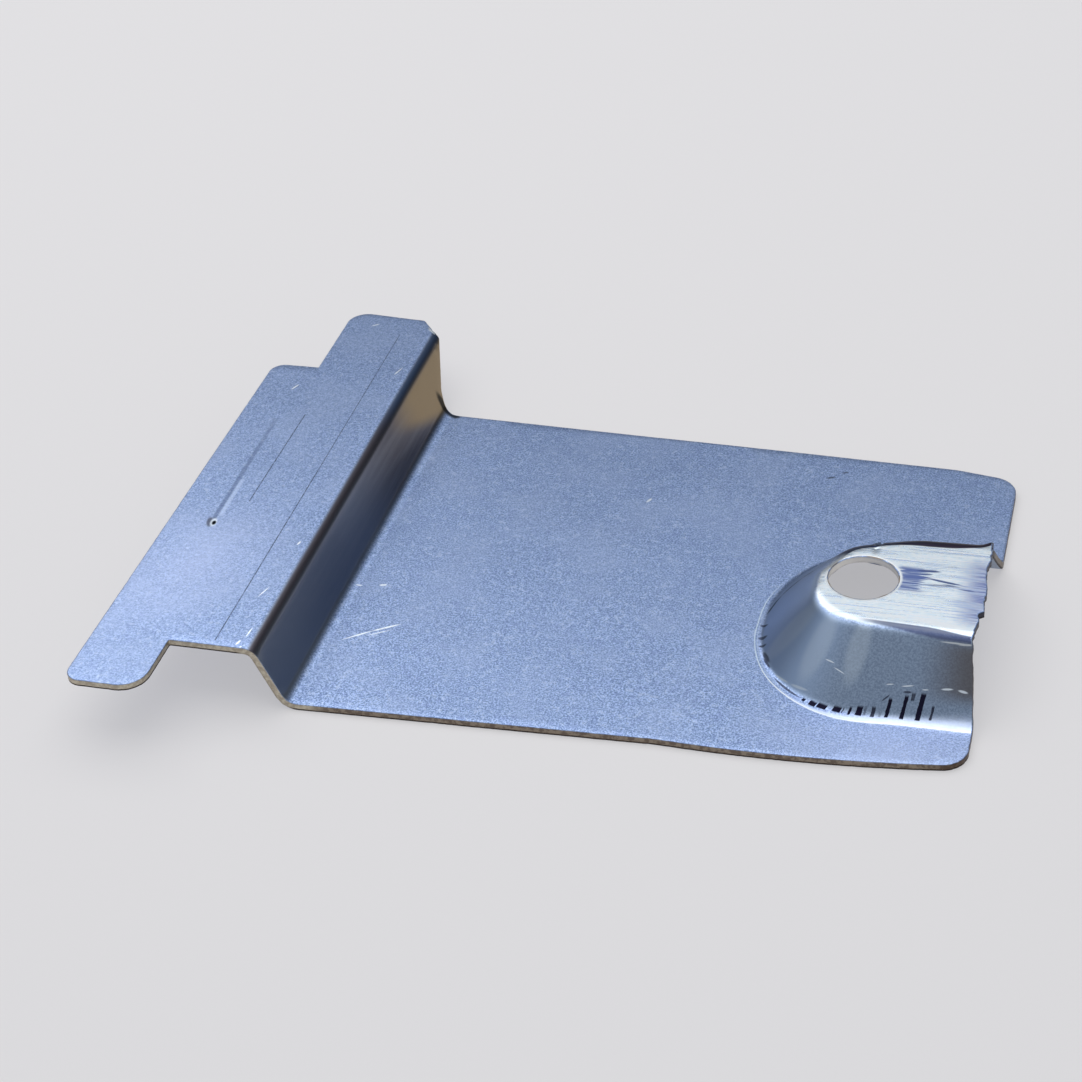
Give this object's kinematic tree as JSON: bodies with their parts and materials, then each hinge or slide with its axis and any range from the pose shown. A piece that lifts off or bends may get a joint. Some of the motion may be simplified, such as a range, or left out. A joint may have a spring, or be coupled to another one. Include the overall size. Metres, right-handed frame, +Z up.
{
  "type": "expansion tank bracket",
  "caption": "Folded sheet-steel bracket: flat plate, steep joggle up to a tabbed flange, and a drawn U-shaped boss with a bolt hole, open at the end.",
  "frame": {"origin": "middle of the part's footprint, on the plane of the plate's underside that it rests on", "axes": "+X along the plate, from the raised flange towards the open mouth of the boss; +Y across the plate, away from the tab's overhang; +Z up, towards the side that the flange and the boss rise to"},
  "size_m": [0.112, 0.093, 0.0094],
  "materials": {
    "galvanised_steel": "dull bluish-grey zinc coat with a fine bright grain; rubbed bright on the top of the drawn boss"
  },
  "bodies": {
    "root": {"bracket": "galvanised_steel"}
  },
  "joints": []
}
